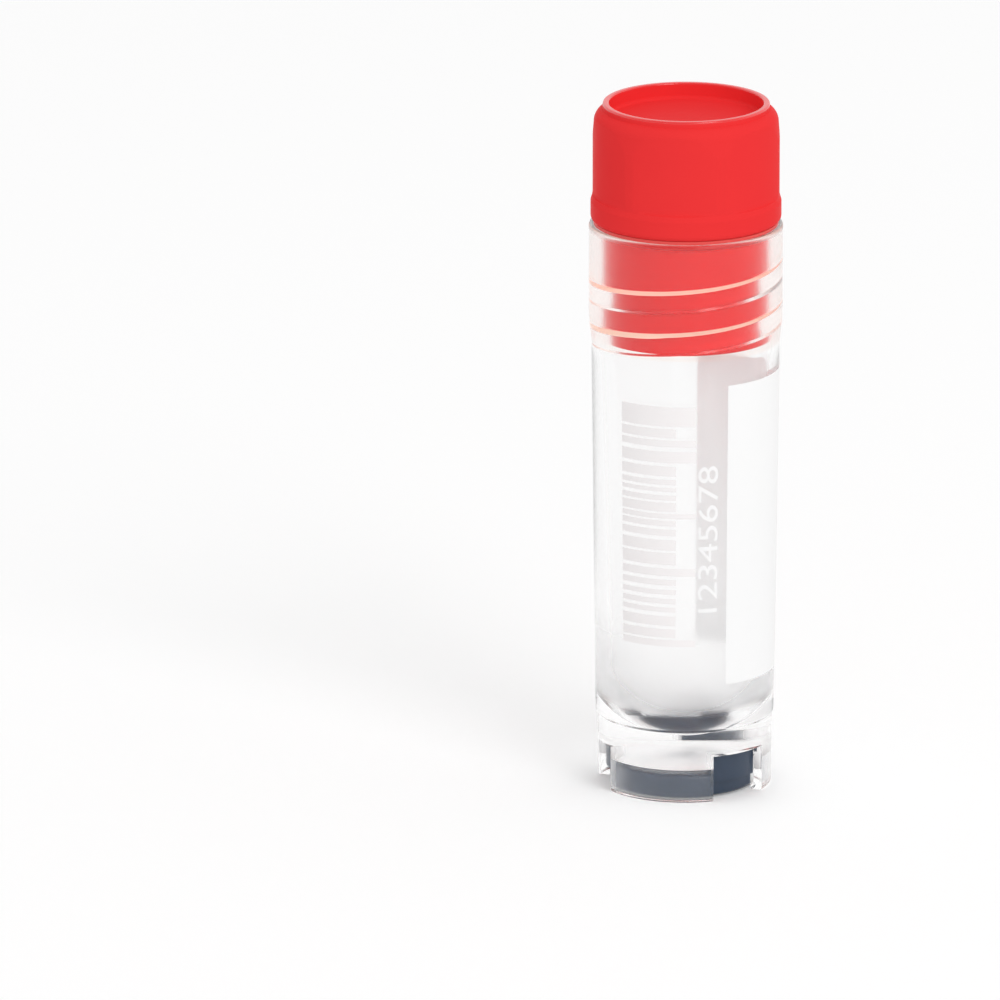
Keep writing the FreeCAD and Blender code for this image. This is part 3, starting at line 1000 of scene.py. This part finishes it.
# %% Lay the floor
floor_edge, floor_depth = 4, -0.01
floor = turn_outline("floor", white_floor, [
    Vector((0, floor_depth)), Vector((floor_edge, floor_depth)), Vector((floor_edge, 0)), Vector((0, 0))], segments=96)
tree, shader = open_shader(
    white_floor, Base_Color=(0.86, 0.86, 0.86, 1), Roughness=0.8, Specular_IOR_Level=0.1,
    Emission_Color=(1, 1, 1, 1))
path = add(tree, "ShaderNodeLightPath").outputs
seen = maths(tree, "MAXIMUM", maths(
    tree, "MAXIMUM", path["Is Camera Ray"], path["Is Glossy Ray"]), path["Is Transmission Ray"])
tree.links.new(times(tree, seen, 0.19), shader.inputs["Emission Strength"])
paint(floor, white_floor)
floor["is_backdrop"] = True
tell(floor)

# %% [markdown]
# ## Light
# A white world lights the vial from all sides, like a light tent. It is a little weaker on the left, and
# darker in front for what gloss mirrors, so that the cap doesn't look milky. Seen directly or through clear
# plastic it is plain white. One large soft lamp on the right gives the cap its lighter side.

# %% Light the scene
world = bpy.data.worlds.new("studio")
bpy.context.scene.world = world
world.use_nodes = True
tree = world.node_tree
tree.nodes.clear()
path = add(tree, "ShaderNodeLightPath").outputs
seen = maths(tree, "MAXIMUM", path["Is Camera Ray"], path["Is Transmission Ray"])
heading = along(tree, add(tree, "ShaderNodeTexCoord").outputs["Generated"])
shine = add(tree, "ShaderNodeMapRange", {
    "Value": heading["Y"], "From Min": -0.6, "From Max": 0.5, "To Min": 0.12, "To Max": 1.0,
}, interpolation_type="SMOOTHSTEP").outputs[0]
fill = add(tree, "ShaderNodeMapRange", {
    "Value": heading["X"], "From Min": -1.0, "From Max": 0.1, "To Min": 0.72, "To Max": 0.84,
}).outputs[0]
plain = add(tree, "ShaderNodeMix", {0: path["Is Glossy Ray"], 2: fill, 3: shine}, data_type="FLOAT").outputs[0]
level = add(tree, "ShaderNodeMix", {0: seen, 2: plain, 3: 1.0}, data_type="FLOAT").outputs[0]
glow = add(tree, "ShaderNodeBackground", {"Color": (1, 1, 1, 1), "Strength": level})
add(tree, "ShaderNodeOutputWorld", {"Surface": glow.outputs[0]})

lamp = bpy.data.objects.new("key_lamp", bpy.data.lights.new("key_lamp", "AREA"))
lamp.data.shape, lamp.data.size, lamp.data.energy = "DISK", 0.8, 6
lamp.location = (0.7, -1.1, 0.9)
middle = Vector((0, 0, (cad_low.z + cad_high.z) / 2))
lamp.rotation_euler = (middle - lamp.location).to_track_quat("-Z", "Y").to_euler()
bpy.context.scene.collection.objects.link(lamp)
print("lamp", round((middle - lamp.location).length, 2), "m away")

# %% [markdown]
# ## Camera
# The camera is far away behind a long lens, because a small part seen from close by would look bulged. It looks
# a little to the left of the vial. Light may cross many skins of the tube, so the bounces are many, and the gloss
# filter is off, since it would darken everything behind a satin skin.

# %% Aim the camera
elevation, distance = math.radians(15.375), 1.1
half_height = 22.75 * mm
past_left, past_foot = 12.0 * mm, 3.8 * mm
back = Vector((0, -math.cos(elevation), math.sin(elevation)))
right, up = Vector((1, 0, 0)), Vector((0, math.sin(elevation), math.cos(elevation)))
aim = Vector((0, 0, half_height))
camera = bpy.data.objects.new("camera", bpy.data.cameras.new("camera"))
bpy.context.scene.collection.objects.link(camera)
camera.data.lens, camera.data.sensor_width = 610.8, 36
camera.data.clip_start, camera.data.clip_end = 0.05, 20
camera.location = aim + back * distance
towards = aim - right * past_left - up * past_foot
camera.rotation_euler = (towards - camera.location).to_track_quat("-Z", "Y").to_euler()
bpy.context.scene.camera = camera
bpy.context.scene.view_settings.view_transform = "Standard"
cycles = bpy.context.scene.cycles
cycles.blur_glossy = 0
cycles.max_bounces = cycles.transmission_bounces = 32
cycles.diffuse_bounces, cycles.glossy_bounces = 8, 16
print("camera", distance, "m away, lens", round(camera.data.lens, 1), "mm")

# %% [markdown]
# ## Size
# The finished vial has to fill the same box as the CAD one, so its size is printed, beside the CAD height printed at
# the start.

# %% Record the size and finish
low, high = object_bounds()
print("visual size in mm:", [round(v / mm, 3) for v in (high - low)])
